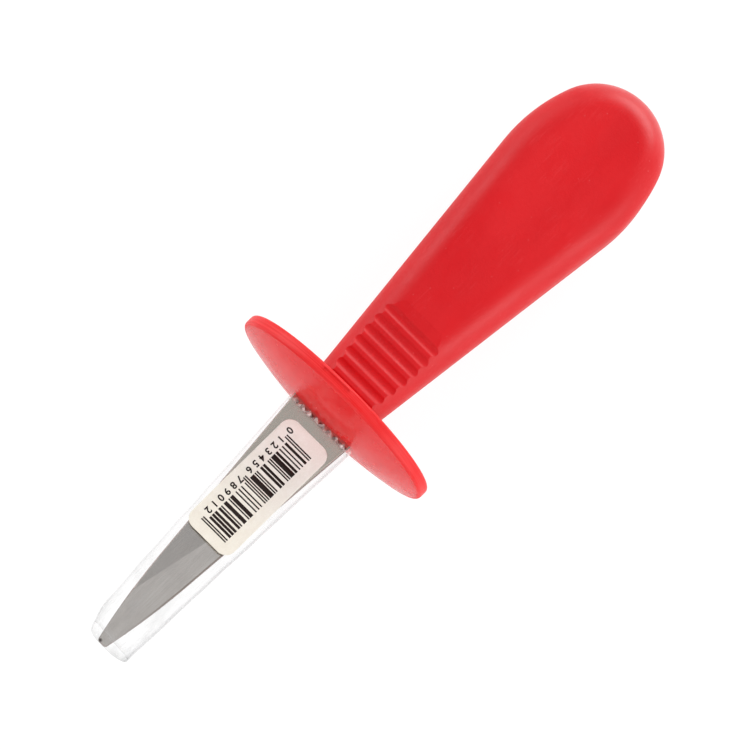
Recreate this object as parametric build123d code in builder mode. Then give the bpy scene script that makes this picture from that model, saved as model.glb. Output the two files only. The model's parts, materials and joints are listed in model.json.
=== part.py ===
"""Oyster knife lying on a table: steel blade, oval hand guard, moulded handle and a clear
tube over the blade that carries a paper label. Millimetres, +Z up.

The knife has its own frame: +X from the tip to the butt, the blade flat in its XY plane,
starting at the centre of the guard's front face. It lies on the guard's rim and on the
butt, so this frame leans by the rest angle. The origin of the part is on the table, under
the middle of the whole object.
"""

from math import asin, atan2, cos, hypot, radians, sin, sqrt, tan
import os

from build123d import *

# Blade and tang, one steel plate
blade_length = 64.6
blade_base_width = 15.77
blade_belly_from_tip = 20.8
blade_belly_width = 8.45
blade_tip_width = 2.2
blade_tip_drop = 1.01
blade_thickness = 2.0
blade_edge_radius = 0.25
blade_tip_corner_radius = 0.6
blade_shoulder_radius = 1.0
grind_from_tip = 23.5
grind_skew_deg = 11.4
grind_angle_deg = 3.5
tang_length = 59.0
tang_width = 9.0
tang_end_chamfer = 2.5
tang_hole_count = 2
tang_hole_diameter = 4.0
tang_hole_spacing = 18.0
tang_hole_from_end = 10.0

# Hand guard
guard_width = 50.6
guard_height = 36.0
guard_thickness = 5.7
guard_rim_radius = 0.7
guard_dome_rise = 3.1
guard_seat_depth = 2.6
guard_slot_clearance = 0.05
gate_mark_length = 7.1
gate_mark_width = 0.9
gate_mark_depth = 0.2
gate_mark_offset = 2.75

# Handle
handle_length = 89.6
neck_width = 16.0
side_taper_deg = 6.45
side_arc_radius = 38.0
butt_arc_radius = 14.0
neck_thickness = 13.0
butt_thickness = 18.6
handle_edge_radius = 6.0
scoop_radius = 107.0
scoop_depth = 1.05
scoop_from_guard = 8.5
groove_count = 7
groove_pitch = 3.02
groove_radius = 1.4
groove_depth = 0.42
groove_crest_radius = 0.7
first_groove_from_guard = 1.8

# Clear tube over the blade
sleeve_from_guard = 0.7
sleeve_wall = 0.25
tip_beyond_sleeve = 1.2
sleeve_mouth_drop = 1.19
sleeve_edge_clearance = 0.46
sleeve_face_clearance = 0.25
sleeve_corner_radius = 1.0
sleeve_middle_place_share = 0.464
sleeve_middle_width_share = 0.826
sleeve_middle_height_share = 0.325
sleeve_mouth_share = 0.635
sleeve_roundness_share = 0.48
tooth_count = 9
tooth_notch_share = 0.92

# Paper label on the tube
label_length = 31.1
label_width = 12.25
label_thickness = 0.12
label_corner_radius = 2.5
label_from_guard = 3.5
label_drop = 0.6

# Places along the knife, from the guard's front face
neck_x = guard_thickness
butt_x = neck_x + handle_length
mouth_x = tip_beyond_sleeve - blade_length
sleeve_end_x = -sleeve_from_guard
sleeve_middle_x = sleeve_end_x + (mouth_x - sleeve_end_x) * sleeve_middle_place_share

# The tube is widest and flattest at the guard, and its mouth is round
sleeve_end_width = blade_base_width + 2 * (sleeve_edge_clearance + sleeve_wall)
sleeve_end_height = blade_thickness + 2 * (sleeve_face_clearance + sleeve_wall)
sleeve_mouth_size = sleeve_end_width * sleeve_mouth_share

# The two rounded edges on the table: the guard's back rim and the butt's lower edge
thickness_slope = (butt_thickness - neck_thickness) / 2 / handle_length
rim_x = guard_thickness - guard_rim_radius
rim_z = guard_rim_radius - guard_height / 2
butt_edge_x = butt_x - handle_edge_radius
butt_edge_half = butt_thickness / 2 - thickness_slope * handle_edge_radius
butt_edge_z = handle_edge_radius * hypot(1, thickness_slope) - butt_edge_half
table_line = Vector(butt_edge_x - rim_x, butt_edge_z - rim_z)
rest_angle = atan2(table_line.Y, table_line.X)
rest_angle -= asin((handle_edge_radius - guard_rim_radius) / table_line.length)
lean_cos = cos(rest_angle)
lean_sin = sin(rest_angle)
axis_height = rim_x * lean_sin - rim_z * lean_cos + guard_rim_radius
tip_reach = -blade_length * lean_cos - blade_thickness / 2 * lean_sin
mouth_reach = mouth_x * lean_cos - sleeve_mouth_size / 2 * lean_sin
front_reach = min(tip_reach, mouth_reach)
back_reach = butt_edge_x * lean_cos - butt_edge_z * lean_sin + handle_edge_radius

knife = Plane(
    origin=(-(front_reach + back_reach) / 2, 0, axis_height),
    x_dir=(lean_cos, 0, -lean_sin),
    z_dir=(lean_sin, 0, lean_cos),
)
along = Axis(knife.origin, knife.x_dir)
upward = Axis(knife.origin, knife.z_dir)


def across(x):
    """The plane square to the knife at x: local X over its width, local Y upward."""
    place = knife.from_local_coords(Vector(x, 0, 0))
    return Plane(origin=place, x_dir=knife.y_dir, z_dir=knife.x_dir)


def seen_from_side(x, z, slope):
    """The plane in the middle of the knife through (x, z), local X rising by slope."""
    place = knife.from_local_coords(Vector(x, 0, z))
    direction = knife.x_dir + knife.z_dir * slope
    return Plane(origin=place, x_dir=direction, z_dir=-knife.y_dir)


def blade_centre(x):
    """How far the middle line of the blade has gone to one side at x."""
    return blade_tip_drop * x / blade_length


def sleeve_centre(x):
    """The same for the middle line of the tube."""
    return -sleeve_mouth_drop * x / mouth_x


# Blade: the outline with its tang, then both faces ground off from a slanting line
belly_x = blade_belly_from_tip - blade_length
belly_y = blade_centre(belly_x)
half_base = blade_base_width / 2
half_belly = blade_belly_width / 2
half_tip = blade_tip_width / 2
belly_top = (belly_x, belly_y + half_belly)
belly_bottom = (belly_x, belly_y - half_belly)
tip_top = (-blade_length, half_tip - blade_tip_drop)
tip_bottom = (-blade_length, -half_tip - blade_tip_drop)

grind_skew = radians(grind_skew_deg)
grind_angle = radians(grind_angle_deg)
grind_line = Vector(cos(grind_skew), -sin(grind_skew), 0)
grind_normal = Vector(
    -sin(grind_skew) * sin(grind_angle),
    -cos(grind_skew) * sin(grind_angle),
    cos(grind_angle),
)
grind_start = Vector(grind_from_tip - blade_length, 0, blade_thickness / 2)
grind_plane = knife * Plane(origin=grind_start, x_dir=grind_line, z_dir=grind_normal)

with BuildPart() as blade:
    with BuildSketch(knife.offset(-blade_thickness / 2)) as plate:
        with BuildLine():
            top_edge = Line((0, half_base), belly_top)
            TangentArc(belly_top, tip_top, tangent=top_edge % 1)
            Line(tip_top, tip_bottom)
            bottom_edge = Line((0, -half_base), belly_bottom)
            TangentArc(belly_bottom, tip_bottom, tangent=bottom_edge % 1)
            Line((0, half_base), (0, -half_base))
        make_face()
        fillet(plate.vertices().group_by(Axis.X)[0], blade_tip_corner_radius)
        Rectangle(guard_seat_depth, blade_base_width, align=(Align.MIN, Align.CENTER))
        fillet(plate.vertices().group_by(Axis.X)[-1], blade_shoulder_radius)
        Rectangle(tang_length, tang_width, align=(Align.MIN, Align.CENTER))
        chamfer(plate.vertices().group_by(Axis.X)[-1], tang_end_chamfer)
        for hole in range(tang_hole_count):
            hole_x = tang_length - tang_hole_from_end - hole * tang_hole_spacing
            with Locations((hole_x, 0)):
                Circle(tang_hole_diameter / 2, mode=Mode.SUBTRACT)
    extrude(amount=blade_thickness)
    blade_faces = blade.faces().sort_by(upward)
    fillet(blade_faces[0].edges() + blade_faces[-1].edges(), blade_edge_radius)
    with BuildSketch(grind_plane):
        Rectangle(2 * blade_length, 2 * blade_length)
    top_grind = extrude(amount=blade_thickness, mode=Mode.PRIVATE)
    add(top_grind, mode=Mode.SUBTRACT)
    add(top_grind.mirror(knife), mode=Mode.SUBTRACT)

# Guard: an oval plate with rounded rims, its front domed by a ball pressed as flat as the
# oval, a seat let in for the wide end of the blade, a slot for the tang, and a moulding mark
# on top
dome_radius = (guard_width**2 / 4 + guard_dome_rise**2) / (2 * guard_dome_rise)
dome_middle = knife.from_local_coords(Vector(dome_radius, 0, 0))
slot_height = blade_thickness + 2 * guard_slot_clearance
with BuildPart() as ball:
    Sphere(dome_radius)
    scale(by=(1, 1, guard_height / guard_width))
with BuildPart() as guard:
    with BuildSketch(across(0)):
        Ellipse(guard_width / 2, guard_height / 2)
    extrude(amount=guard_thickness)
    with Locations(Plane(origin=dome_middle, x_dir=knife.x_dir, z_dir=knife.z_dir)):
        add(ball.part, mode=Mode.INTERSECT)
    rims = guard.faces().sort_by(along)[0].edges() + guard.faces().sort_by(along)[-1].edges()
    fillet(rims, guard_rim_radius)
    with BuildSketch(across(0)):
        Rectangle(tang_width + 2 * guard_slot_clearance, slot_height)
    extrude(amount=guard_thickness, mode=Mode.SUBTRACT)
    with BuildSketch(across(0)):
        Rectangle(blade_base_width + 2 * guard_slot_clearance, slot_height)
    extrude(amount=guard_seat_depth, mode=Mode.SUBTRACT)
    with BuildSketch(across(guard_thickness - guard_rim_radius - gate_mark_width)):
        with Locations((gate_mark_offset, 0)):
            Rectangle(gate_mark_length, guard_height, align=(Align.CENTER, Align.MIN))
        Ellipse(
            guard_width / 2 - gate_mark_depth,
            guard_height / 2 - gate_mark_depth,
            mode=Mode.SUBTRACT,
        )
    extrude(amount=gate_mark_width, mode=Mode.SUBTRACT)

# Handle outline: a straight side, a long arc and the round butt, each tangent to the next
taper = radians(side_taper_deg)
side_run = Vector(cos(taper), sin(taper))
side_inward = Vector(sin(taper), -cos(taper))
neck_corner = Vector(neck_x, neck_width / 2)
butt_middle = Vector(butt_x - butt_arc_radius, 0)
arc_offset = neck_corner + side_inward * side_arc_radius - butt_middle
arc_run = arc_offset.dot(side_run)
arc_gap = side_arc_radius - butt_arc_radius
side_length = -arc_run - sqrt(arc_run**2 - arc_offset.dot(arc_offset) + arc_gap**2)
side_end = neck_corner + side_run * side_length
arc_middle = side_end + side_inward * side_arc_radius
arc_end = arc_middle + (butt_middle - arc_middle).normalized() * side_arc_radius

# Handle: its upper half with a thumb scoop and the finger grooves fanned along it, mirrored,
# then cast around the tang
scoop_middle = Vector(scoop_from_guard, scoop_radius - scoop_depth)
groove_reach = scoop_radius + groove_depth - groove_radius
with BuildPart() as handle:
    with BuildSketch(seen_from_side(0, 0, 0)):
        with BuildLine():
            Polyline(
                (neck_x, 0),
                (butt_x, 0),
                (butt_x, butt_thickness / 2),
                (neck_x, neck_thickness / 2),
                close=True,
            )
        make_face()
    extrude(amount=handle_length, both=True)
    with BuildSketch(knife):
        with BuildLine():
            straight = Line(neck_corner, side_end)
            bulge = TangentArc(side_end, arc_end, tangent=straight % 1)
            TangentArc(arc_end, (butt_x, 0), tangent=bulge % 1)
            mirror(about=Plane.XZ)
            Line(neck_corner, (neck_x, -neck_width / 2))
        make_face()
    extrude(amount=butt_thickness, mode=Mode.INTERSECT)
    facet = handle.faces().sort_by(upward)[-1]
    fillet(facet.edges().sort_by(along)[1:], handle_edge_radius)
    with BuildSketch(seen_from_side(neck_x, neck_thickness / 2, thickness_slope)) as scoops:
        with Locations(scoop_middle):
            Circle(scoop_radius)
        for groove in range(groove_count):
            run = first_groove_from_guard + groove * groove_pitch - scoop_from_guard
            turn = run / scoop_radius
            with Locations(scoop_middle + Vector(sin(turn), -cos(turn)) * groove_reach):
                Circle(groove_radius)
        fillet(scoops.vertices().sort_by(Axis.Y)[: 2 * groove_count], groove_crest_radius)
    extrude(amount=handle_length, both=True, mode=Mode.SUBTRACT)
    mirror(about=knife)
    add(blade.part, mode=Mode.SUBTRACT)

# Tube: flat where the wide end of the blade fills it, round at its open mouth
sleeve_middle_height = sleeve_end_width * sleeve_middle_height_share
sleeve_sections = (
    (sleeve_end_x, sleeve_end_width, sleeve_end_height, sleeve_corner_radius),
    (
        sleeve_middle_x,
        sleeve_end_width * sleeve_middle_width_share,
        sleeve_middle_height,
        sleeve_middle_height * sleeve_roundness_share,
    ),
    (
        mouth_x,
        sleeve_mouth_size,
        sleeve_mouth_size,
        sleeve_mouth_size * sleeve_roundness_share,
    ),
)


def tube(growth):
    """A solid through the sleeve's outer sections, each grown by growth all round."""
    with BuildPart() as body:
        for x, width, height, corner in sleeve_sections:
            with BuildSketch(across(x)):
                with Locations((sleeve_centre(x), 0)):
                    RectangleRounded(
                        width + 2 * growth, height + 2 * growth, corner + growth
                    )
        loft()
    return body.part


sleeve_outside = tube(0)
tooth_pitch = sleeve_end_width / tooth_count

with BuildPart() as blade_sleeve:
    add(sleeve_outside)
    add(tube(-sleeve_wall), mode=Mode.SUBTRACT)
    with BuildSketch(knife):
        with Locations((sleeve_end_x, sleeve_centre(sleeve_end_x))):
            with GridLocations(tooth_pitch, tooth_pitch, 1, tooth_count):
                RegularPolygon(tooth_pitch / 2 * tooth_notch_share, 4)
    extrude(amount=sleeve_mouth_size, both=True, mode=Mode.SUBTRACT)

# Label: a sheet on the outside of the tube, cut to a rounded rectangle seen from above
with BuildPart() as barcode_label:
    add(tube(label_thickness))
    add(sleeve_outside, mode=Mode.SUBTRACT)
    with BuildSketch(knife):
        with Locations((-label_from_guard - label_length / 2, -label_drop)):
            RectangleRounded(label_length, label_width, label_corner_radius)
    extrude(amount=sleeve_mouth_size, mode=Mode.INTERSECT)

os.makedirs("parts", exist_ok=True)
blade.part.label = "blade"
export_step(blade.part, "parts/blade.step")
guard.part.label = "guard"
export_step(guard.part, "parts/guard.step")
handle.part.label = "handle"
export_step(handle.part, "parts/handle.step")
blade_sleeve.part.label = "blade_sleeve"
export_step(blade_sleeve.part, "parts/blade_sleeve.step")
barcode_label.part.label = "barcode_label"
export_step(barcode_label.part, "parts/barcode_label.step")
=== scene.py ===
import json
import math

import bmesh
import bpy
import numpy as np
from mathutils import Matrix, Vector


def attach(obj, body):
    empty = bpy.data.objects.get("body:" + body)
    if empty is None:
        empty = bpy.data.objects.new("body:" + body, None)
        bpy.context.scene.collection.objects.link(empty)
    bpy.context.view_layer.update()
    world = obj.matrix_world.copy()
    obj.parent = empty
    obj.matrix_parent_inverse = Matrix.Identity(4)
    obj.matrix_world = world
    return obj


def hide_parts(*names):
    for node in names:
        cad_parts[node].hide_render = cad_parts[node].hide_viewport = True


# Oyster knife under a clear tube, lying on its guard and its butt.
# Lengths in the dictionaries are in millimetres, in the knife's own frame: x from the
# guard's front towards the butt, y across the blade, z up through its faces. Only those
# of the studio and the camera are in metres, in the scene's own frame.

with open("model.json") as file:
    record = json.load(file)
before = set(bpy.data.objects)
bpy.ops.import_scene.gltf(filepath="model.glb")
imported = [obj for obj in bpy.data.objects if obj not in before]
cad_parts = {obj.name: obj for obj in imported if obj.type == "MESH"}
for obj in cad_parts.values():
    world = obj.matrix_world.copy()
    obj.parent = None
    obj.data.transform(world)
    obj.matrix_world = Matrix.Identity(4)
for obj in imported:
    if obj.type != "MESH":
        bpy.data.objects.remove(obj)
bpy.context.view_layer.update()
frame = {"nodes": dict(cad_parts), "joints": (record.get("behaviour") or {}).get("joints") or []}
nodes = frame["nodes"]
mm = 0.001
print("knife: CAD frame loaded")

# the knife's frame: its origin is the middle of the guard's front, its x the slide's axis
knifeOrigin = np.array((-15.3926, 0.0, 18.4279)) * mm
knifeX = -np.array(frame["joints"][0]["axis"])
knifeY = np.array((0.0, 1.0, 0.0))
knifeZ = np.cross(knifeX, knifeY)
leanAngle = math.atan2(-knifeX[2], knifeX[0])
pi = math.pi


def toWorld(x, y, z):
    # world point = origin + x * knifeX + y * knifeY + z * knifeZ, from millimetres
    x, y, z = np.broadcast_arrays(x, y, z)
    return knifeOrigin + mm * (
        x[..., None] * knifeX + y[..., None] * knifeY + z[..., None] * knifeZ
    )


def smoothStep(low, high, value):
    # 3t^2 - 2t^3 with t the value's place between low and high, held to 0..1
    t = np.clip((value - low) / (high - low), 0.0, 1.0)
    return t * t * (3.0 - 2.0 * t)


def addObject(name, data):
    thing = bpy.data.objects.new(name, data)
    bpy.context.collection.objects.link(thing)
    return thing


def meshFromArrays(name, points, quads):
    # points as an n x 3 array in metres, quads as an m x 4 array of their numbers
    mesh = bpy.data.meshes.new(name)
    mesh.vertices.add(len(points))
    mesh.vertices.foreach_set("co", points.astype(np.float32).ravel())
    mesh.loops.add(quads.size)
    mesh.loops.foreach_set("vertex_index", quads.astype(np.int32).ravel())
    mesh.polygons.add(len(quads))
    mesh.polygons.foreach_set("loop_start", np.arange(0, quads.size, 4, dtype=np.int32))
    mesh.polygons.foreach_set("use_smooth", np.ones(len(quads), dtype=bool))
    mesh.update(calc_edges=True)
    mesh.validate()
    return addObject(name, mesh)


def gridQuads(rows, columns, closed=False):
    # quads of a rows x columns grid of points, joined round the end when closed
    r = np.arange(rows - 1)[:, None]
    c = np.arange(columns if closed else columns - 1)[None, :]
    n = (c + 1) % columns
    a, b = r * columns + c, r * columns + n
    d, e = (r + 1) * columns + c, (r + 1) * columns + n
    return np.stack((a, b, e, d), axis=-1).reshape(-1, 4)


def sheetPiece(name, top, bottom):
    # closed thin sheets: each top grid (sheets x rows x columns x 3), the same grid below
    # it turned over, and a band of quads round the border between the two
    sheets, rows, columns = top.shape[:3]
    count = rows * columns
    points = np.concatenate((top.reshape(sheets, -1, 3), bottom.reshape(sheets, -1, 3)), axis=1)
    number = np.arange(count).reshape(rows, columns)
    border = np.concatenate(
        (number[0, :-1], number[:-1, -1], number[-1, :0:-1], number[:0:-1, 0])
    )
    after = np.roll(border, -1)
    upper = gridQuads(rows, columns)
    band = np.stack((after, border, border + count, after + count), axis=-1)
    quads = np.concatenate((upper, upper[:, ::-1] + count, band))
    everyQuad = quads[None] + np.arange(sheets)[:, None, None] * 2 * count
    return meshFromArrays(name, points.reshape(-1, 3), everyQuad.reshape(-1, 4))


def give(tree, value, socket):
    # a number, a colour or another node's output into a socket
    if isinstance(value, bpy.types.NodeSocket):
        tree.links.new(value, socket)
    elif socket.type == "RGBA":
        socket.default_value = (*value, 1.0)
    else:
        socket.default_value = value


def feed(tree, node, values):
    # the same for several sockets of a node, by name or by number
    for socket, value in values.items():
        give(tree, value, node.inputs[socket])


def newMaterial(name, colour):
    material = bpy.data.materials.new(name)
    material.use_nodes = True
    tree = material.node_tree
    tree.nodes.clear()
    output = tree.nodes.new("ShaderNodeOutputMaterial")
    shader = tree.nodes.new("ShaderNodeBsdfPrincipled")
    give(tree, colour, shader.inputs["Base Color"])
    tree.links.new(shader.outputs["BSDF"], output.inputs["Surface"])
    return material, tree, shader


def knifeCoords(tree):
    # object coordinates turned into the knife's frame, in millimetres
    place = tree.nodes.new("ShaderNodeTexCoord")
    turn = tree.nodes.new("ShaderNodeMapping")
    turn.vector_type = "TEXTURE"
    turn.inputs["Location"].default_value = knifeOrigin
    turn.inputs["Rotation"].default_value = (0.0, leanAngle, 0.0)
    turn.inputs["Scale"].default_value = (mm, mm, mm)
    tree.links.new(place.outputs["Object"], turn.inputs["Vector"])
    return turn.outputs["Vector"]


def calc(tree, operation, first, second=0.0, third=0.0, clamp=False):
    node = tree.nodes.new("ShaderNodeMath")
    node.operation = operation
    node.use_clamp = clamp
    feed(tree, node, {0: first, 1: second, 2: third})
    return node.outputs[0]


def times(tree, first, second):
    return calc(tree, "MULTIPLY", first, second)


def reach(tree, first, second):
    # square root of the sum of two squares
    squares = calc(tree, "MULTIPLY_ADD", first, first, times(tree, second, second))
    return calc(tree, "SQRT", squares)


def ramp(tree, value, fromMin, fromMax, toMin=0.0, toMax=1.0, kind="SMOOTHSTEP"):
    node = tree.nodes.new("ShaderNodeMapRange")
    node.interpolation_type = kind
    feed(tree, node, {0: value, 1: fromMin, 2: fromMax, 3: toMin, 4: toMax})
    return node.outputs["Result"]


def mixColour(tree, share, first, second, kind="MIX"):
    node = tree.nodes.new("ShaderNodeMix")
    node.data_type = "RGBA"
    node.blend_type = kind
    feed(tree, node, {0: share, 6: first, 7: second})  # the sockets of its colour form
    return node.outputs[2]


def tinted(tree, colour, mask, share, tint):
    # the colour with this share of the tint over it, wherever the mask is 1
    return mixColour(tree, times(tree, mask, share), colour, tint)


def noise(tree, vector, scale, detail=2.0, roughness=0.5):
    node = tree.nodes.new("ShaderNodeTexNoise")
    feed(tree, node, {"Vector": vector, "Scale": scale, "Detail": detail, "Roughness": roughness})
    return node.outputs["Fac"]


def pattern(tree, vector, scale, detail=2.0, roughness=0.5, turn=0.0):
    # noise with its own scale along x, y and z, read from a turned part of the noise
    node = tree.nodes.new("ShaderNodeMapping")
    node.inputs["Scale"].default_value = scale
    node.inputs["Rotation"].default_value = (0.0, 0.0, turn)
    tree.links.new(vector, node.inputs["Vector"])
    return noise(tree, node.outputs["Vector"], 1.0, detail, roughness)


def apart(tree, vector):
    node = tree.nodes.new("ShaderNodeSeparateXYZ")
    tree.links.new(vector, node.inputs["Vector"])
    return node.outputs


def bump(tree, height, depth, before=None):
    # relief of this depth, over that of the bump before it
    node = tree.nodes.new("ShaderNodeBump")
    feed(tree, node, {"Height": height, "Distance": depth * mm})
    if before is not None:
        tree.links.new(before, node.inputs["Normal"])
    return node.outputs["Normal"]


def newGroup(name, inputs, outputs):
    group = bpy.data.node_groups.new(name, "ShaderNodeTree")
    for side, sockets in (("INPUT", inputs), ("OUTPUT", outputs)):
        for label, kind in sockets.items():
            group.interface.new_socket(label, in_out=side, socket_type=kind)
    inner = group.nodes.new("NodeGroupInput")
    outer = group.nodes.new("NodeGroupOutput")
    return group, inner.outputs, outer.inputs


def useGroup(tree, group, **values):
    node = tree.nodes.new("ShaderNodeGroup")
    node.node_tree = group
    feed(tree, node, values)
    return node.outputs


# the skin of moulded plastic: fine grain and slow flow marks, both 0..1
skinLook = {
    "coarse": 0.37,  # scale of the coarser grain, as a share of the finer one's
    "coarseShare": 0.5,
    "flow": (0.03, 0.09, 0.09),  # scale of the flow marks along x, y and z
    "flowRange": (0.35, 0.68),
}


def mouldedSkinGroup():
    look = skinLook
    group, inner, outer = newGroup(
        "mouldedSkin",
        {"Place": "NodeSocketVector", "Grain": "NodeSocketFloat"},
        {"Height": "NodeSocketFloat", "Flow": "NodeSocketFloat"},
    )
    fine = noise(group, inner["Place"], inner["Grain"], 3.0, 0.6)
    coarse = noise(group, inner["Place"], times(group, inner["Grain"], look["coarse"]), 1.0)
    fine = times(group, fine, 1.0 - look["coarseShare"])
    height = calc(group, "MULTIPLY_ADD", coarse, look["coarseShare"], fine)
    group.links.new(height, outer["Height"])
    flow = pattern(group, inner["Place"], look["flow"], 4.0, 0.55)
    group.links.new(ramp(group, flow, *look["flowRange"]), outer["Flow"])
    return group


# marks of use on any finish: hairline scratches, finger smudges and specks of dust
handlingLook = {
    "scratchSets": ((0.35, 0.09), (-0.8, 0.13), (1.45, 0.07)),  # turn in the noise, x scale
    "scratchAcross": 5.5,  # their scale in y and z
    "scratchRange": (0.66, 0.70),
    "scratched": 0.16,  # scale of the places that have scratches
    "scratchedRange": (0.46, 0.62),
    "smudge": (0.11, 0.2, 0.2),
    "smudgeTurn": 0.5,
    "smudgeRange": (0.42, 0.66),
    "specks": 0.42,  # scale of the specks
    "speckRange": (0.03, 0.07),
}


def handlingGroup():
    look = handlingLook
    group, inner, outer = newGroup(
        "handlingMarks",
        {"Place": "NodeSocketVector", "Scratches": "NodeSocketFloat"},
        {"Scratch": "NodeSocketFloat", "Smudge": "NodeSocketFloat", "Dust": "NodeSocketFloat"},
    )
    place = inner["Place"]
    lines = 0.0
    for turn, along in look["scratchSets"]:
        scale = (along, look["scratchAcross"], look["scratchAcross"])
        hair = ramp(group, pattern(group, place, scale, 1.0, turn=turn), *look["scratchRange"])
        lines = calc(group, "MAXIMUM", hair, lines)
    where = ramp(group, noise(group, place, look["scratched"]), *look["scratchedRange"])
    scratch = times(group, times(group, lines, where), inner["Scratches"])
    group.links.new(scratch, outer["Scratch"])
    smudge = pattern(group, place, look["smudge"], 3.0, 0.6, look["smudgeTurn"])
    group.links.new(ramp(group, smudge, *look["smudgeRange"]), outer["Smudge"])
    specks = group.nodes.new("ShaderNodeTexVoronoi")
    feed(group, specks, {"Vector": place, "Scale": look["specks"]})
    dust = ramp(group, specks.outputs["Distance"], *look["speckRange"], 1.0, 0.0)
    group.links.new(dust, outer["Dust"])
    return group


mouldedSkin = mouldedSkinGroup()
handlingMarks = handlingGroup()

# the handle: matt red, finely grained, with a faint seam where the mould's halves met and
# its butt polished by the palm; a mark is a share and the colour that it lays over the red
handleLook = {
    "red": (0.585, 0.0045, 0.0085),
    "paleRed": (0.635, 0.008, 0.012),  # slow flow marks
    "scratchMark": (0.25, (0.86, 0.12, 0.13)),
    "dustMark": (0.12, (0.85, 0.45, 0.44)),
    "scratches": 0.35,
    "roughness": (0.48, 0.41),  # clean and smudged
    "specular": 0.31,
    "grain": 2.7,  # grains a millimetre
    "grainDepth": 0.06,
    "scratchDepth": 0.012,
    "seam": (0.048, 0.16),  # half width of the seam, full and faded out
    "seamDepth": 0.05,
    "buttMiddle": 81.3,  # x of the middle of the butt's round end
    "polishFrom": (8.0, 11.5),  # from there out, the palm has polished its rounded edge
    "polishTo": (3.5, 13.0),  # and most of all at its end, this far past the middle
    "polish": 0.75,
    "polishRoughness": 0.36,
}


def handleMaterial():
    look = handleLook
    material, tree, shader = newMaterial("handlePlastic", look["red"])
    place = knifeCoords(tree)
    skin = useGroup(tree, mouldedSkin, Place=place, Grain=look["grain"])
    marks = useGroup(tree, handlingMarks, Place=place, Scratches=look["scratches"])
    colour = mixColour(tree, skin["Flow"], look["red"], look["paleRed"])
    colour = tinted(tree, colour, marks["Scratch"], *look["scratchMark"])
    colour = tinted(tree, colour, marks["Dust"], *look["dustMark"])
    axis = apart(tree, place)
    beyond = calc(tree, "SUBTRACT", axis["X"], look["buttMiddle"])
    outer = ramp(tree, reach(tree, beyond, axis["Y"]), *look["polishFrom"], 0.0, look["polish"])
    seam = ramp(tree, calc(tree, "ABSOLUTE", axis["Z"]), *look["seam"], 1.0, 0.0)
    normal = bump(tree, skin["Height"], look["grainDepth"])
    normal = bump(tree, seam, look["seamDepth"], normal)
    normal = bump(tree, marks["Scratch"], -look["scratchDepth"], normal)
    feed(tree, shader, {
        "Base Color": colour,
        "Roughness": ramp(tree, marks["Smudge"], 0.0, 1.0, *look["roughness"]),
        "Specular IOR Level": look["specular"],
        "Coat Weight": times(tree, outer, ramp(tree, beyond, *look["polishTo"])),
        "Coat Roughness": look["polishRoughness"],
        "Normal": normal,
    })
    return material


# the guard: the same red but shiny, its rim streaked round where it was trimmed
guardLook = {
    "red": (0.74, 0.006, 0.009),
    "paleRed": (0.79, 0.010, 0.013),
    "rimRed": (0.75, 0.003, 0.004),
    "streakMark": (0.35, (0.95, 0.07, 0.075)),
    "dustMark": (0.12, (0.88, 0.5, 0.5)),
    "scratches": 0.8,
    "roughness": (0.20, 0.28),  # clean and smudged
    "rimRougher": 0.14,
    "streakRougher": 0.08,
    "specular": 0.32,
    "half": (25.3, 18.0),  # half width and half height
    "rimShare": (0.955, 0.975),  # where the rim starts, as a share of the oval
    "streaks": (4.6, 0.05, 0.05),  # their scale along x, y and z
    "streakRange": (0.38, 0.64),
    "streakDepth": 0.022,
    "grain": 1.6,
    "grainDepth": 0.006,
    "scratchDepth": 0.010,
}


def guardMaterial():
    look = guardLook
    material, tree, shader = newMaterial("guardPlastic", look["red"])
    place = knifeCoords(tree)
    skin = useGroup(tree, mouldedSkin, Place=place, Grain=look["grain"])
    marks = useGroup(tree, handlingMarks, Place=place, Scratches=look["scratches"])
    axis = apart(tree, place)
    sideways = calc(tree, "DIVIDE", axis["Y"], look["half"][0])
    upwards = calc(tree, "DIVIDE", axis["Z"], look["half"][1])
    rim = ramp(tree, reach(tree, sideways, upwards), *look["rimShare"])
    streak = ramp(tree, pattern(tree, place, look["streaks"], 3.0, 0.65), *look["streakRange"])
    streak = times(tree, streak, rim)
    colour = mixColour(tree, skin["Flow"], look["red"], look["paleRed"])
    colour = mixColour(tree, rim, colour, look["rimRed"])
    colour = tinted(tree, colour, streak, *look["streakMark"])
    colour = tinted(tree, colour, marks["Dust"], *look["dustMark"])
    gloss = ramp(tree, marks["Smudge"], 0.0, 1.0, *look["roughness"])
    gloss = calc(tree, "MULTIPLY_ADD", rim, look["rimRougher"], gloss)
    gloss = calc(tree, "MULTIPLY_ADD", streak, look["streakRougher"], gloss)
    normal = bump(tree, skin["Height"], look["grainDepth"])
    normal = bump(tree, streak, look["streakDepth"], normal)
    normal = bump(tree, marks["Scratch"], -look["scratchDepth"], normal)
    feed(tree, shader, {
        "Base Color": colour,
        "Roughness": gloss,
        "Specular IOR Level": look["specular"],
        "Normal": normal,
    })
    return material


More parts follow.
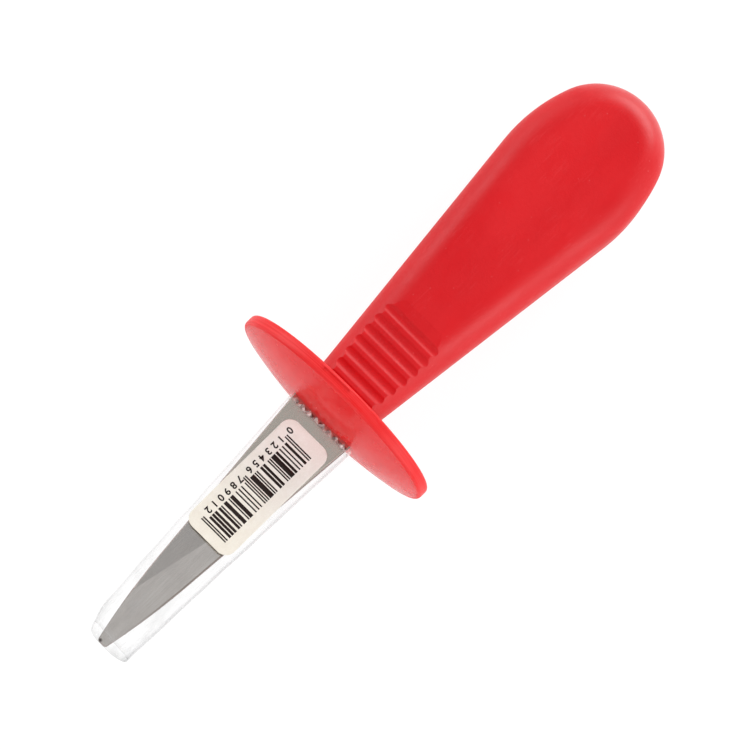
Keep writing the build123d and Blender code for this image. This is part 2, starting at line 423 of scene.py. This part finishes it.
# the blade: satin steel, brushed along its length, paler towards the guard, with a painted red
# reflection of the guard beside it and painted shade spots under the tube's teeth, and a dark
# line along its -y edge
steelLook = {
    "steel": (0.675, 0.64, 0.61),
    "brightSteel": (0.735, 0.705, 0.675),
    "darkSteel": (0.585, 0.545, 0.515),
    "plainShare": 0.55,  # plain steel over the brushed
    "brushing": (0.05, 9.0, 9.0),  # lines a millimetre along x, y and z
    "broadBrushing": (0.02, 0.9, 0.9),
    "brushShares": (0.65, 0.35),  # of the fine lines and of the broad ones
    "brushRange": (0.34, 0.66),
    "smudgeShare": 0.22,
    "dustMark": (0.12, (0.75, 0.74, 0.72)),
    "scratches": 0.9,
    "lowEdge": (8.81e-7, 9.70e-5, 3.908e-3, 2.44e-3, -7.378),  # the -y edge's y by powers of x
    "edgeWidth": (0.40, 0.22),
    "edgeRun": (-62.0, -46.0),  # x where its line fades in
    "edgeMark": (0.72, (0.30, 0.235, 0.195)),
    "paleRun": (-36.0, -14.0),
    "paleMark": (0.85, (0.79, 0.73, 0.645)),
    # painted reflection of the red guard in the steel beside it
    "guardReflectionRun": (-1.5, -0.2),
    "guardReflectionMark": (0.75, (0.58, 0.17, 0.15)),
    "shadeSpots": (0.0, 0.75, 0.0),  # scale of the painted shade spots in a row under the tube's teeth
    "shadeSpotRange": (0.42, 0.54),
    "shadeSpotRow": ((-1.4, -0.95), (-0.15, -0.5)),  # x where the row fades in from either side
    "shadeSpotMark": (0.85, (0.12, 0.05, 0.04)),
    "stamped": (0.985, 0.86),  # how upright a normal is, on its faces and on its outline's
    "stampedEdge": (0.27, 0.205, 0.185),  # the narrow faces all round its outline
    "stampedRougher": 0.3,
    "tipCorner": (-64.4, -0.35, 0.3),  # a dark spot at the tip's corner
    "tipCornerSize": (0.7, 0.35),
    "tipCornerDark": (0.07, 0.055, 0.05),
    "roughness": (0.18, 0.12),  # of the dark lines and the bright ones
    "smudgeRougher": 0.06,
    "lineDepth": 0.0016,
    "scratchDepth": 0.003,
}


def steelMaterial():
    look = steelLook
    material, tree, shader = newMaterial("bladeSteel", look["steel"])
    place = knifeCoords(tree)
    marks = useGroup(tree, handlingMarks, Place=place, Scratches=look["scratches"])
    axis = apart(tree, place)
    along = axis["X"]
    lines = pattern(tree, place, look["brushing"], 4.0, 0.7)
    broad = pattern(tree, place, look["broadBrushing"])
    fineShare, broadShare = look["brushShares"]
    brush = calc(tree, "MULTIPLY_ADD", broad, broadShare, times(tree, lines, fineShare))
    brush = ramp(tree, brush, *look["brushRange"])
    colour = mixColour(tree, brush, look["darkSteel"], look["brightSteel"])
    colour = mixColour(tree, look["plainShare"], colour, look["steel"])
    colour = tinted(tree, colour, marks["Smudge"], look["smudgeShare"], look["darkSteel"])
    colour = tinted(tree, colour, marks["Dust"], *look["dustMark"])
    # the edge's y is c0 + x (c1 + x (c2 + x (c3 + x c4))), worked out from c4, the first
    lowEdge = look["lowEdge"][0]
    for part in look["lowEdge"][1:]:
        lowEdge = calc(tree, "MULTIPLY_ADD", lowEdge, along, part)
    inside = calc(tree, "SUBTRACT", axis["Y"], lowEdge)
    line = ramp(tree, inside, *look["edgeWidth"])
    line = times(tree, line, ramp(tree, along, *look["edgeRun"]))
    colour = tinted(tree, colour, line, *look["edgeMark"])
    colour = tinted(tree, colour, ramp(tree, along, *look["paleRun"]), *look["paleMark"])
    # painted reflection: the steel beside the guard tinted dull red
    colour = tinted(tree, colour, ramp(tree, along, *look["guardReflectionRun"]), *look["guardReflectionMark"])
    # painted shade: dark spots in a row under the tube's teeth, by the guard
    spots = ramp(tree, pattern(tree, place, look["shadeSpots"], 1.0), *look["shadeSpotRange"])
    for side in look["shadeSpotRow"]:
        spots = times(tree, spots, ramp(tree, along, *side))
    colour = tinted(tree, colour, spots, *look["shadeSpotMark"])
    upright = tree.nodes.new("ShaderNodeVectorMath")
    upright.operation = "DOT_PRODUCT"
    upright.inputs[1].default_value = knifeZ
    tree.links.new(tree.nodes.new("ShaderNodeTexCoord").outputs["Normal"], upright.inputs[0])
    edge = ramp(tree, calc(tree, "ABSOLUTE", upright.outputs["Value"]), *look["stamped"])
    colour = mixColour(tree, edge, colour, look["stampedEdge"])
    corner = tree.nodes.new("ShaderNodeVectorMath")
    corner.operation = "DISTANCE"
    corner.inputs[1].default_value = look["tipCorner"]
    tree.links.new(place, corner.inputs[0])
    near = ramp(tree, corner.outputs["Value"], *look["tipCornerSize"])
    colour = mixColour(tree, near, colour, look["tipCornerDark"])
    rough = ramp(tree, brush, 0.0, 1.0, *look["roughness"])
    rough = calc(tree, "MULTIPLY_ADD", marks["Smudge"], look["smudgeRougher"], rough)
    rough = calc(tree, "MULTIPLY_ADD", edge, look["stampedRougher"], rough)
    normal = bump(tree, lines, look["lineDepth"])
    normal = bump(tree, marks["Scratch"], -look["scratchDepth"], normal)
    feed(tree, shader, {
        "Base Color": colour,
        "Metallic": 1.0,
        "Roughness": rough,
        "Normal": normal,
    })
    return material


for name, material in (
    ("handle", handleMaterial()),
    ("guard", guardMaterial()),
    ("blade", steelMaterial()),
):
    nodes[name].data.materials.clear()
    nodes[name].data.materials.append(material)
print("knife: steel and plastics finished")

# the clear tube: flat and wide at the guard, round at its mouth by the tip, its upper wall
# held down near the blade as far as the label goes
tube = {
    "places": (-0.15, -10.8, -22.8, -34.8, -47.1, -59.6, -63.4),
    "halfWidths": (8.68, 8.17, 7.58, 7.05, 6.47, 5.85, 5.64),
    "heights": (1.5, 1.52, 1.62, 1.95, 3.0, 4.75, 5.35),  # its upper side over the middle
    "depths": (1.5, 1.95, 2.5, 3.15, 3.95, 4.95, 5.4),  # its lower side under the middle
    "middles": (-0.27, -1.45),  # its middle line's y at the guard and at the mouth
    "wall": 0.2,
    "squareness": (8.5, 2.05, 16.0),  # at the guard, at the mouth, and how fast it rounds
    "teeth": 9,
    "toothDepth": 1.0,
    "dents": 0.10,
    "dentRun": (-9.0, -37.0),  # x where they begin and where they are full
    "dentWaves": (  # size, waves round it, their twist and phase, waves along it and phase
        (1.0, 3.0, 0.21, 0.0, 0.33, 1.0),
        (0.6, 5.0, -0.4, 2.0, 0.17, 0.0),
    ),
    "curl": 1.15,  # how far the mouth's +y side is pulled in
    "curlRun": (-57.3, -64.3),
    "curlEase": 1.4,
    "curlHeight": 0.35,  # and its height there, as a share of that
    "mouthWaves": ((0.12, 2, 0.7), (0.10, 3, 0.0)),  # size, waves round it and phase
    "mouthOut": 0.05,
    "mouthShort": (0.5, 0.3),  # its +y side ends this much sooner, from this angle
    "mouthLong": 0.6,  # its underside goes this much further
    "columns": 320,
    "columnPacking": 0.22,
    "rows": 84,
    "rowPacking": 1.15,
    "lowBand": (0.279, 0.744),  # the painted shade band along its -y side, full and faded out
}
widthFit = np.polyfit(tube["places"], tube["halfWidths"], 3)
heightFit = np.polyfit(tube["places"], tube["heights"], 4)
depthFit = np.polyfit(tube["places"], tube["depths"], 3)


def tubeSizes(x):
    # half width, height, depth, squareness and middle line at x: curves through the places,
    # and squareness falling from its first value to its second with distance
    first, last, fall = tube["squareness"]
    square = last + (first - last) * np.exp((x - tube["places"][0]) / fall)
    atGuard, atMouth = tube["middles"]
    middle = atGuard + (atMouth - atGuard) * x / tube["places"][-1]
    height, depth = np.polyval(heightFit, x), np.polyval(depthFit, x)
    return np.polyval(widthFit, x), height, depth, square, middle


def tubePoint(x, turn, inset=0.0):
    # a rounded box section |y/a|^n + |z/b|^n = 1: the ray at angle turn meets it at
    # s = (|cos|^n + |sin|^n)^(-1/n), so y = a s cos, z = b s sin, less slow dents, with b
    # the height above the middle or the depth below it; near the mouth the +y side is
    # pulled in by a square law
    a, height, depth, n, middle = tubeSizes(x)
    cosine, sine = np.cos(turn), np.sin(turn)
    b = np.where(sine > 0.0, height, depth)
    s = (np.abs(cosine) ** n + np.abs(sine) ** n) ** (-1.0 / n)
    waves = 0.0
    for size, around, twist, phase, along, start in tube["dentWaves"]:
        ripple = size * np.sin(around * turn + twist * x + phase)
        waves = waves + ripple * np.sin(along * x + start)
    dent = tube["dents"] * smoothStep(*tube["dentRun"], x) * waves
    pulled = smoothStep(*tube["curlRun"], x) ** tube["curlEase"]
    curl = tube["curl"] * (0.5 + 0.5 * cosine) ** 2 * pulled
    y = middle + (a - inset - dent - curl) * s * cosine
    z = (b - inset - dent - tube["curlHeight"] * curl) * s * sine
    return y, z


def tubeMesh():
    # turn = u + packing * sin 2u packs the columns on the flat sides; each line runs from
    # the zigzag, x = end - depth * triangle(y), to the slightly wavy mouth
    u = np.linspace(0.0, 2 * pi, tube["columns"], endpoint=False)
    turn = u + tube["columnPacking"] * np.sin(2 * u)
    end, last = tube["places"][0], tube["places"][-1]
    yEnd = tubePoint(np.full_like(turn, end), turn)[0]
    tooth = (yEnd / (2 * tube["halfWidths"][0]) * tube["teeth"] + 0.5) % 1.0
    first = end - tube["toothDepth"] * (1.0 - np.abs(2.0 * tooth - 1.0))
    for size, around, phase in tube["mouthWaves"]:
        last = last + size * np.sin(around * turn + phase)
    sooner, angle = tube["mouthShort"]
    last = last - tube["mouthOut"] + sooner * (0.5 + 0.5 * np.cos(turn - angle)) ** 3
    last = last - tube["mouthLong"] * (0.5 - 0.5 * np.sin(turn)) ** 2
    share = np.linspace(0.0, 1.0, tube["rows"])[:, None] ** tube["rowPacking"]
    x = first[None, :] * (1.0 - share) + last[None, :] * share
    wide = np.broadcast_to(turn, x.shape)
    outer = toWorld(x, *tubePoint(x, wide))
    inner = toWorld(x, *tubePoint(x, wide, tube["wall"]))
    rows, columns = x.shape
    count = rows * columns
    points = np.concatenate((outer.reshape(-1, 3), inner.reshape(-1, 3)))
    shell = gridQuads(rows, columns, closed=True)
    c = np.arange(columns)
    n = (c + 1) % columns
    low = (rows - 1) * columns
    endBand = np.stack((n, c, c + count, n + count), axis=-1)
    mouthBand = np.stack((low + c, low + n, low + n + count, low + c + count), axis=-1)
    quads = np.concatenate((shell, shell[:, ::-1] + count, endBand, mouthBand))
    piece = meshFromArrays("clearTube", points, quads)
    # painted shade for the film: 1 at the -y side, falling to 0 a band's width inside it
    y = tubePoint(x, wide)[0]
    band = 1.0 - smoothStep(*tube["lowBand"], y - y.min(axis=1, keepdims=True))
    sideShade = piece.data.attributes.new("lowSide", "FLOAT", "POINT")
    sideShade.data.foreach_set("value", np.tile(band.ravel(), 2).astype(np.float32))
    return piece


filmLook = {
    "tint": (0.50, 0.505, 0.51),
    "teethTint": (0.95, 0.94, 0.91),  # the teeth, white where they catch the light
    "clear": 0.017,  # how solid it looks face on, each wall
    "edge": 0.46,  # and seen along its surface
    "edgePower": 3.4,  # how closely that keeps to its sides
    "highEdge": 0.62,  # share of that on its +y side: painted shade, the -y side's edge kept darker
    "highRun": (-3.0, 4.0),  # y where that share comes in
    "lowSide": 0.075,  # painted shade: the film more solid grey along its -y side
    "smudge": (0.022, 0.11),  # at the guard and at the mouth
    "smudgeRun": (-40.0, -60.0),
    "scratch": 0.06,
    "scratches": 0.7,
    "teethRun": (-1.7, -0.9),
    "worn": (0.1, 0.35, 0.35),  # scale of the teeth's worn and fresh stretches
    "wornRange": (0.40, 0.62),
    "wornShare": 0.25,  # what shows of a worn tooth
    "teeth": 0.16,
    "sparkle": (0.8, 1.3, 1.3),
    "sparkleRange": (0.50, 0.58),
    "glint": 0.72,
    "mouthRun": (-62.0, -64.0),
    "mouth": 0.12,
    "wrinkles": (0.12, 0.5, 0.5),
    "wrinkleDepth": 0.07,
    "scratchDepth": 0.01,
    "roughness": 0.12,
}


def filmMaterial():
    # how solid the film looks is a sum: more along its sides, smudges, teeth and mouth, with
    # painted glints on the teeth and painted shade along its -y side
    look = filmLook
    material, tree, shader = newMaterial("clearFilm", look["tint"])
    place = knifeCoords(tree)
    marks = useGroup(tree, handlingMarks, Place=place, Scratches=look["scratches"])
    axis = apart(tree, place)
    along = axis["X"]
    facing = tree.nodes.new("ShaderNodeLayerWeight")
    facing.inputs["Blend"].default_value = 0.5
    slope = calc(tree, "POWER", facing.outputs["Facing"], look["edgePower"])
    highSide = ramp(tree, axis["Y"], *look["highRun"], 1.0, look["highEdge"])
    slope = times(tree, slope, highSide)
    # painted shade: the film more solid grey along its -y side
    sideShade = tree.nodes.new("ShaderNodeAttribute")
    sideShade.attribute_name = "lowSide"
    smudge = ramp(tree, along, *look["smudgeRun"], *look["smudge"])
    zigzag = ramp(tree, along, *look["teethRun"])
    patchy = pattern(tree, place, look["worn"], 1.0)
    patchy = ramp(tree, patchy, *look["wornRange"], look["wornShare"], 1.0)
    teeth = times(tree, zigzag, patchy)
    # painted glints: white spots on the teeth where they would catch the light
    sparkle = ramp(tree, pattern(tree, place, look["sparkle"]), *look["sparkleRange"])
    solid = ramp(tree, slope, 0.0, 1.0, look["clear"], look["edge"], "LINEAR")
    for mask, share in (
        (sideShade.outputs["Fac"], look["lowSide"]),
        (marks["Smudge"], smudge),
        (marks["Scratch"], look["scratch"]),
        (teeth, look["teeth"]),
        (times(tree, teeth, sparkle), look["glint"]),
    ):
        solid = calc(tree, "MULTIPLY_ADD", mask, share, solid)
    mouth = ramp(tree, along, *look["mouthRun"])
    solid = calc(tree, "MULTIPLY_ADD", mouth, look["mouth"], solid, clamp=True)
    normal = bump(tree, pattern(tree, place, look["wrinkles"], 3.0), look["wrinkleDepth"])
    normal = bump(tree, marks["Scratch"], -look["scratchDepth"], normal)
    feed(tree, shader, {
        "Base Color": mixColour(tree, zigzag, look["tint"], look["teethTint"]),
        "Roughness": look["roughness"],
        "Alpha": solid,
        "Normal": normal,
    })
    return material


clearTube = tubeMesh()
clearTube.data.materials.append(filmMaterial())
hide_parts("blade_sleeve")
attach(clearTube, "sleeve")
print("knife: clear tube made")

# the paper label, stuck on the upper side of the tube, and what is printed on it
label = {
    "length": 30.9,
    "width": 12.1,
    "corner": 2.5,
    "fromGuard": 3.8,
    "middle": -0.66,  # its middle line's y
    "lift": 0.04,  # off the tube
    "thickness": 0.10,
    "cornerRows": 12,
    "straightRows": 60,
    "columns": 48,
    "inkLift": 0.022,
    "inkSink": 0.01,
    "inkSpread": 0.02,  # ink spreads a little into the paper
    "barUnit": 0.264,  # width of one unit of the bars
    "barsFrom": -7.2,
    "barsAcross": (1.85, -4.1),
    "guardBarsTo": 2.85,
    "barColumns": 28,
    "digitsAt": 3.05,  # middle of the row of digits
    "digitHeight": 1.5,
    "digitBold": 0.055,
    "digitStep": 1.83,
    "digitStarts": (-0.98, -0.19, 0.75),  # first digit, left six and right six, from barsFrom
    "digitHalf": 0.02,  # half of what the flat digits are thickened to
    "fineEdge": 0.25,  # longer edges in them are cut
}


def onLabel(x, y, lift):
    # height of the tube's outside over (x, y): z = b (1 - |(y - middle)/a|^n)^(1/n) + lift,
    # with the tube's half width a, height b and squareness n at x
    a, b, _, n, middle = tubeSizes(x)
    share = np.clip(np.abs(y - middle) / a, 0.0, 0.999)
    return toWorld(x, y, b * (1.0 - share**n) ** (1.0 / n) + lift)


def labelMesh():
    # rounded rectangle: at each x the half width is w/2 - r + sqrt(r^2 - e^2), with e how
    # far x is into the corner; v runs across it from -1 to 1
    half, corner = label["length"] / 2, label["corner"]
    middle = -label["fromGuard"] - half
    ends = half - corner + corner * np.sin(np.linspace(0.0, pi / 2, label["cornerRows"]))
    straight = np.linspace(-half + corner, half - corner, label["straightRows"])
    run = np.concatenate((-ends[::-1], straight[1:-1], ends))
    into = np.clip(np.abs(run) - (half - corner), 0.0, corner)
    halfWidth = label["width"] / 2 - corner + np.sqrt(corner**2 - into**2)
    v = np.linspace(-1.0, 1.0, label["columns"])
    x = (middle + run)[:, None] + 0 * v[None, :]
    y = label["middle"] + halfWidth[:, None] * v[None, :]
    lift = label["lift"]
    top = onLabel(x, y, lift + label["thickness"])
    return sheetPiece("paperLabel", top[None], onLabel(x, y, lift)[None])


def barcodeMesh(digits):
    # the usual retail code: seven units a digit in sets L, G and R, the first digit told by
    # the pattern of L and G in the left half; each dark run becomes one thin strip
    left = (
        "0001101", "0011001", "0010011", "0111101", "0100011",
        "0110001", "0101111", "0111011", "0110111", "0001011",
    )
    sets = (
        "LLLLLL", "LLGLGG", "LLGGLG", "LLGGGL", "LGLLGG",
        "LGGLLG", "LGGGLL", "LGLGLG", "LGLGGL", "LGGLGL",
    )
    right = [code.translate(str.maketrans("01", "10")) for code in left]
    endBars, middleBars = "101", "01010"
    units = endBars
    for kind, digit in zip(sets[int(digits[0])], digits[1:7]):
        units += left[int(digit)] if kind == "L" else right[int(digit)][::-1]
    middle = len(units)
    units += middleBars + "".join(right[int(digit)] for digit in digits[7:]) + endBars
    ink = np.array([unit == "1" for unit in "0" + units + "0"])
    starts = np.flatnonzero(ink[1:] & ~ink[:-1])
    stops = np.flatnonzero(~ink[1:] & ink[:-1])
    tall = (starts < len(endBars)) | (stops > len(units) - len(endBars))
    tall |= (starts >= middle) & (starts < middle + len(middleBars))
    x0 = label["barsFrom"] - label["barUnit"] * starts + label["inkSpread"]
    x1 = label["barsFrom"] - label["barUnit"] * stops - label["inkSpread"]
    x = np.stack((x0, x1), axis=-1)[:, :, None]
    high, low = label["barsAcross"]
    yTop = np.where(tall, label["guardBarsTo"], high)[:, None, None]
    v = np.linspace(0.0, 1.0, label["barColumns"])[None, None, :]
    y = low + (yTop - low) * (1.0 - v) + 0 * x
    x = x + 0 * v
    lift = label["lift"] + label["thickness"]
    top = onLabel(x, y, lift + label["inkLift"])
    return sheetPiece("barcodeBars", top, onLabel(x, y, lift - label["inkSink"]))


def flatDigit(digit):
    # points (u, v, w) and triangles of a digit's outline, thickened and cut fine
    curve = bpy.data.curves.new("digit", "FONT")
    curve.body = digit
    curve.align_x = "CENTER"
    curve.size = label["digitHeight"] / 0.70  # a digit is that share of the type's size
    curve.resolution_u = 4
    curve.offset = label["digitBold"]
    curve.extrude = label["digitHalf"]
    text = bpy.data.objects.new("digit", curve)
    mesh = bpy.data.meshes.new_from_object(text)
    fine = bmesh.new()
    fine.from_mesh(mesh)
    bmesh.ops.remove_doubles(fine, verts=fine.verts, dist=1e-4)
    bmesh.ops.triangulate(fine, faces=fine.faces)
    longEdges = [edge for edge in fine.edges if edge.calc_length() > label["fineEdge"]]
    bmesh.ops.subdivide_edges(fine, edges=longEdges, cuts=3)
    bmesh.ops.triangulate(fine, faces=fine.faces)
    fine.to_mesh(mesh)
    fine.free()
    flat = np.empty(len(mesh.vertices) * 3)
    mesh.vertices.foreach_get("co", flat)
    corners = np.empty(len(mesh.loops), dtype=np.int32)
    mesh.loops.foreach_get("vertex_index", corners)
    bpy.data.objects.remove(text)
    bpy.data.meshes.remove(mesh)
    bpy.data.curves.remove(curve)
    return flat.reshape(-1, 3), corners.reshape(-1, 3)


def digitMesh(digits):
    # each digit turned half round as on the knife: flat (u, v, w) becomes
    # (x, y) = (start - u, row - v), and w its height on the label
    points, faces, count = [], [], 0
    half, sink = label["digitHalf"], label["inkSink"]
    for number, digit in enumerate(digits):
        flat, triangles = flatDigit(digit)
        group = (number > 0) + (number > 6)
        start = label["barsFrom"] - label["digitStarts"][group] - number * label["digitStep"]
        x = start - flat[:, 0]
        y = label["digitsAt"] + label["digitHeight"] / 2 - flat[:, 1]
        height = label["lift"] + label["thickness"] - sink
        height = height + (label["inkLift"] + sink) * (flat[:, 2] + half) / (2 * half)
        points.append(onLabel(x, y, height))
        faces += (triangles + count).tolist()
        count += len(flat)
    mesh = bpy.data.meshes.new("labelDigits")
    mesh.from_pydata(np.concatenate(points).tolist(), [], faces)
    mesh.validate()
    return addObject("labelDigits", mesh)


paperLook = {
    "guardEnd": (0.925, 0.905, 0.865),  # pinkish cream, kept paler as painted light against the guard's shade
    "tipEnd": (0.885, 0.845, 0.75),  # yellower cream
    "changeRun": (-5.8, -32.8),
    "fibres": (2.2, 5.5, 5.5),
    "fibreTurn": 0.4,
    "fibreRange": (0.35, 0.7),
    "fibreShade": (0.95, 0.94, 0.93),
    "fibreDepth": 0.012,
    "clouds": 0.5,
    "cloudRange": (0.4, 0.65),
    "cloudShade": (0.97, 0.96, 0.95),
    "smudgeMark": (0.06, (0.6, 0.53, 0.47)),
    "roughness": 0.62,
}


def paperMaterial():
    look = paperLook
    material, tree, shader = newMaterial("labelPaper", look["guardEnd"])
    place = knifeCoords(tree)
    marks = useGroup(tree, handlingMarks, Place=place)
    fibres = pattern(tree, place, look["fibres"], 4.0, 0.65, look["fibreTurn"])
    # partly the paper's own tone and partly painted light: the paper paler towards the guard to
    # offset the guard's shade
    change = ramp(tree, apart(tree, place)["X"], *look["changeRun"])
    colour = mixColour(tree, change, look["guardEnd"], look["tipEnd"])
    fibreMask = ramp(tree, fibres, *look["fibreRange"])
    cloudMask = ramp(tree, noise(tree, place, look["clouds"], 3.0), *look["cloudRange"])
    for mask, shade in ((fibreMask, look["fibreShade"]), (cloudMask, look["cloudShade"])):
        shading = mixColour(tree, mask, shade, (1.0, 1.0, 1.0))
        colour = mixColour(tree, 1.0, colour, shading, "MULTIPLY")
    feed(tree, shader, {
        "Base Color": tinted(tree, colour, marks["Smudge"], *look["smudgeMark"]),
        "Roughness": look["roughness"],
        "Normal": bump(tree, fibres, look["fibreDepth"]),
    })
    return material


inkLook = {
    "ink": (0.012, 0.006, 0.005),
    "paleInk": (0.040, 0.024, 0.020),
    "patches": 6.0,
    "patchRange": (0.45, 0.8),
    "roughness": 0.6,
    "specular": 0.2,
}


def inkMaterial():
    look = inkLook
    material, tree, shader = newMaterial("printInk", look["ink"])
    patchy = ramp(tree, noise(tree, knifeCoords(tree), look["patches"]), *look["patchRange"])
    feed(tree, shader, {
        "Base Color": mixColour(tree, patchy, look["ink"], look["paleInk"]),
        "Roughness": look["roughness"],
        "Specular IOR Level": look["specular"],
    })
    return material


paperLabel = labelMesh()
paperLabel.data.materials.append(paperMaterial())
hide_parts("barcode_label")
ink = inkMaterial()
sampleCode = "0123456789012"  # a plain sample number
barcodeBars = barcodeMesh(sampleCode)
labelDigits = digitMesh(sampleCode)
for piece in (paperLabel, barcodeBars, labelDigits):
    if piece is not paperLabel:
        piece.data.materials.append(ink)
    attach(piece, "sleeve")
print("knife: paper label printed")

# pale table, soft light all round with more from the butt's side, and the camera
studio = {
    "floorSize": 3.0,
    "table": (0.9, 0.9, 0.9),
    "tableRoughness": 0.9,
    "glow": 0.87,  # share of plain white that is seen on the table
    "faintShade": (0.20, 0.20, 0.20),  # and of its own shading, which keeps the knife's shadow
    "glossShare": 0.35,  # share of both that gloss shows
    "skyLight": (0.73, 0.19),  # at the horizon and overhead
    "skyHeights": (0.1, 1.0),
    "skyTurn": (-0.06, 0.08),  # where the sky seen in gloss turns darker, from -y to +y
    "skyGloss": (0.58, 0.27),
    "boxes": {  # place, width and height, and watts of the lamps, all aimed at the middle
        "buttBox": ((0.70, 0.0, 0.30), (0.6, 0.4), 3.3),
        "tipBox": ((-0.60, 0.0, 0.35), (0.5, 0.4), 1.0),
        "lowSideBox": ((-0.05, -0.62, 0.34), (0.7, 0.4), 3.1),
        "highSideBox": ((0.0, 0.62, 0.34), (0.7, 0.4), 2.6),
    },
}

floorMesh = bpy.data.meshes.new("tableTop")
half = studio["floorSize"] / 2
floorMesh.from_pydata(
    [(-half, -half, 0.0), (half, -half, 0.0), (half, half, 0.0), (-half, half, 0.0)],
    [],
    [(0, 1, 2, 3)],
)
floorPiece = addObject("tableTop", floorMesh)


def seenDirectly(tree, inGloss):
    # 1 for rays from the camera and through clear film, and a share of it for gloss
    path = tree.nodes.new("ShaderNodeLightPath")
    gloss = times(tree, path.outputs["Is Glossy Ray"], inGloss)
    seen = calc(tree, "MAXIMUM", path.outputs["Is Camera Ray"], gloss)
    return calc(tree, "MAXIMUM", seen, path.outputs["Is Transmission Ray"])


floorMaterial, tree, shader = newMaterial("paleTable", studio["table"])
shader.inputs["Roughness"].default_value = studio["tableRoughness"]
glow = tree.nodes.new("ShaderNodeEmission")
glow.inputs["Strength"].default_value = studio["glow"]
faint = tree.nodes.new("ShaderNodeBsdfDiffuse")
give(tree, studio["faintShade"], faint.inputs["Color"])
whiteTable = tree.nodes.new("ShaderNodeAddShader")
feed(tree, whiteTable, {0: glow.outputs["Emission"], 1: faint.outputs["BSDF"]})
mixGlow = tree.nodes.new("ShaderNodeMixShader")
seen = seenDirectly(tree, studio["glossShare"])
feed(tree, mixGlow, {0: seen, 1: shader.outputs["BSDF"], 2: whiteTable.outputs["Shader"]})
tree.links.new(mixGlow.outputs["Shader"], tree.nodes["Material Output"].inputs["Surface"])
floorPiece.data.materials.append(floorMaterial)

world = bpy.data.worlds.new("softStudio")
bpy.context.scene.world = world
world.use_nodes = True
worldTree = world.node_tree
sky = apart(worldTree, worldTree.nodes.new("ShaderNodeTexCoord").outputs["Generated"])
soft = ramp(worldTree, sky["Z"], *studio["skyHeights"], *studio["skyLight"], "LINEAR")
sheen = ramp(worldTree, sky["Y"], *studio["skyTurn"], *studio["skyGloss"])
level = ramp(worldTree, seenDirectly(worldTree, sheen), 0.0, 1.0, soft, 1.0, "LINEAR")
feed(worldTree, worldTree.nodes["Background"], {"Color": (1.0, 1.0, 1.0), "Strength": level})

for name, (place, size, power) in studio["boxes"].items():
    light = bpy.data.lights.new(name, "AREA")
    light.shape = "RECTANGLE"
    light.size, light.size_y = size
    light.energy = power
    lamp = addObject(name, light)
    lamp.location = place
    lamp.rotation_euler = (-Vector(place)).to_track_quat("-Z", "Y").to_euler()

view = {
    "tilt": math.radians(7.57),  # away from straight overhead
    "towards": math.radians(29.6),  # the tilt's direction, from the tip end round to the side
    "distance": 1.37,
    "aim": (0.00002, -0.00058, 0.012),
    "across": 0.15439,  # metres across the picture at the aim
    "upward": (1.0, 1.0, 0.0),  # the way over the table that is upward in the picture
    "roll": math.radians(-0.138),
}
cameraData = bpy.data.cameras.new("photoView")
cameraData.lens = cameraData.sensor_width * view["distance"] / view["across"]
cameraData.clip_start = 0.01
camera = addObject("photoView", cameraData)
tiltWay = Vector((-math.cos(view["towards"]), -math.sin(view["towards"]), 0.0))
backward = tiltWay * math.sin(view["tilt"]) + Vector((0, 0, 1)) * math.cos(view["tilt"])
right = Vector(view["upward"]).cross(backward).normalized()
upward = backward.cross(right)
turned = Matrix((right, upward, backward)).transposed() @ Matrix.Rotation(view["roll"], 3, "Z")
cameraPlace = Vector(view["aim"]) + backward * view["distance"]
camera.matrix_world = Matrix.Translation(cameraPlace) @ turned.to_4x4()
bpy.context.scene.camera = camera
bpy.context.scene.view_settings.view_transform = "Standard"
print("knife: table, light and camera set")
